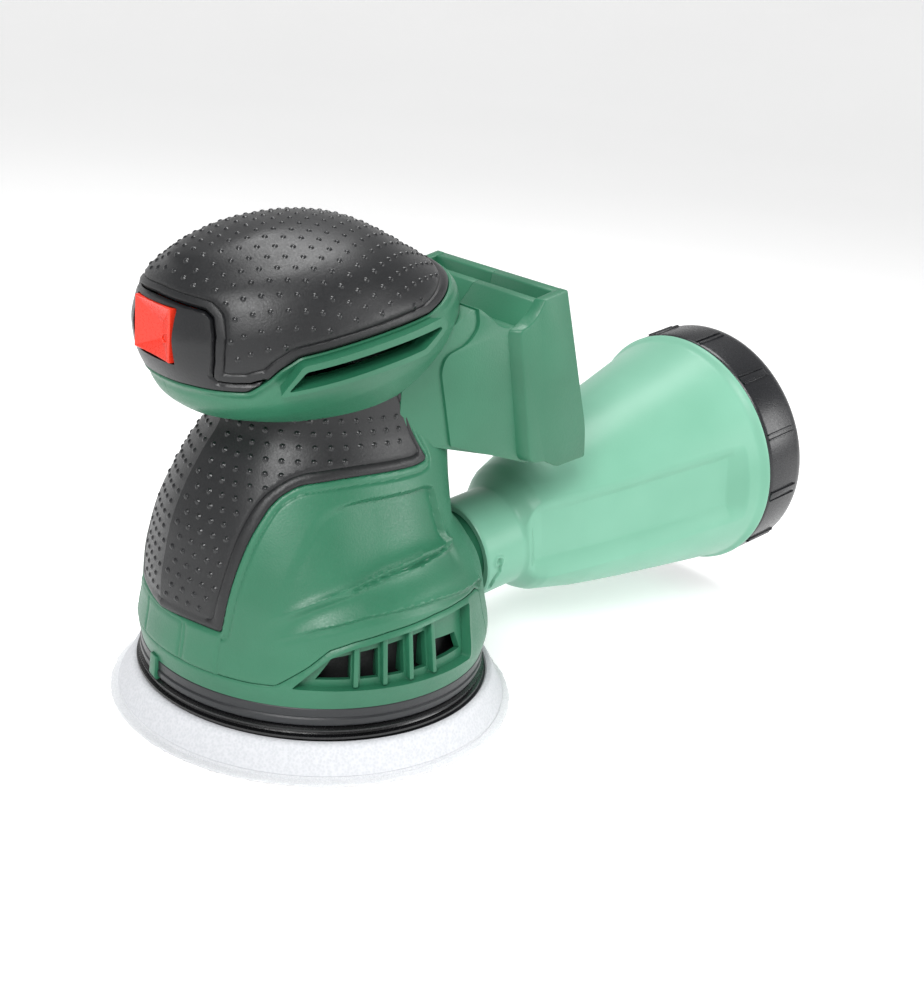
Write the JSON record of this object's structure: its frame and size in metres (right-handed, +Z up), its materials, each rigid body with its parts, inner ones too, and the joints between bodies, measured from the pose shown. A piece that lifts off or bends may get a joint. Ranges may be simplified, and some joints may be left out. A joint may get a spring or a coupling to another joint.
{
  "type": "cordless random orbital sander",
  "caption": "Cordless palm sander with a round random-orbit pad, soft grip head, front rocker switch, rear battery rails and a translucent dust box with a filter cap.",
  "frame": {"origin": "on the motor axis, at the level of the abrasive face", "axes": "+Z up along the motor axis, -X towards the nose with the switch, +X towards the battery foot and dust box, +Y the tool's right side"},
  "size_m": [0.2532, 0.125, 0.1473],
  "materials": {
    "green_plastic": "fine moulded grain, satin",
    "grip_rubber": "satin rubber with raised dots",
    "black_plastic": "satin black",
    "grey_plastic": "satin dark grey",
    "brake_rubber": "matt black",
    "switch_red": "satin red-orange",
    "pad_plastic": "matt white",
    "pad_foam": "fine closed-cell foam, white",
    "hook_fabric": "hook and loop",
    "abrasive": "abrasive disc with a fleece back",
    "clear_green": "translucent, frosted inside",
    "steel": "machined",
    "zinc": "die cast",
    "copper": "bare copper alloy",
    "magnet": "ferrite and lamination",
    "board": "circuit board",
    "filter_paper": "pleated paper"
  },
  "bodies": {
    "housing": {"fan_housing": "green_plastic", "left_shell": "green_plastic", "right_shell": "green_plastic", "front_cover": "green_plastic", "waist_grip_left": "grip_rubber", "waist_grip_right": "grip_rubber", "nose_cover": "black_plastic", "top_grip": "grip_rubber", "battery_rail_plate": "black_plastic", "contact_block": "black_plastic", "contact_blades": "copper", "dust_spigot": "green_plastic", "skirt_ring": "grey_plastic", "brake_ring": "brake_rubber", "motor_can": "steel", "motor_magnets": "magnet", "motor_end_cap": "black_plastic", "brushes": "magnet", "upper_bearing": "steel", "lower_bearing": "steel", "circuit_board": "board", "switch_module": "black_plastic", "motor_leads": "copper", "housing_screws": "steel"},
    "rotor": {"motor_shaft": "steel", "armature": "magnet", "commutator": "copper", "fan": "black_plastic", "eccentric_carrier": "zinc", "spindle_bearing": "steel"},
    "pad": {"spindle": "steel", "pad_plate": "pad_plastic", "pad_foam": "pad_foam", "hook_face": "hook_fabric", "sanding_disc": "abrasive", "pad_screw": "steel"},
    "rocker": {"switch_rocker": "switch_red"},
    "dust_box": {"dust_box_shell": "clear_green", "sleeve_seal": "brake_rubber"},
    "filter_unit": {"filter_cap": "black_plastic", "filter_frame": "grey_plastic", "pleated_filter": "filter_paper", "cap_seal": "brake_rubber"}
  },
  "joints": [
    {"name": "motor_spin", "type": "hinge", "parent": "housing", "child": "rotor", "pos_m": [0, 0, 0.05], "axis": [0, 0, 1], "continuous": true},
    {"name": "pad_spin", "type": "hinge", "parent": "rotor", "child": "pad", "pos_m": [0.001, 0, 0.01], "axis": [0, 0, 1], "continuous": true},
    {"name": "switch_rock", "type": "hinge", "parent": "housing", "child": "rocker", "pos_m": [-0.0505, 0, 0.118], "axis": [0, 0, 1], "range_deg": [0, 8]},
    {"name": "dust_box_pull", "type": "slide", "parent": "housing", "child": "dust_box", "axis": [0.9848, 0, 0.1736], "range_m": [0, 0.04]},
    {"name": "filter_cap_pull", "type": "slide", "parent": "dust_box", "child": "filter_unit", "axis": [0.9848, 0, 0.1736], "range_m": [0, 0.05]}
  ]
}
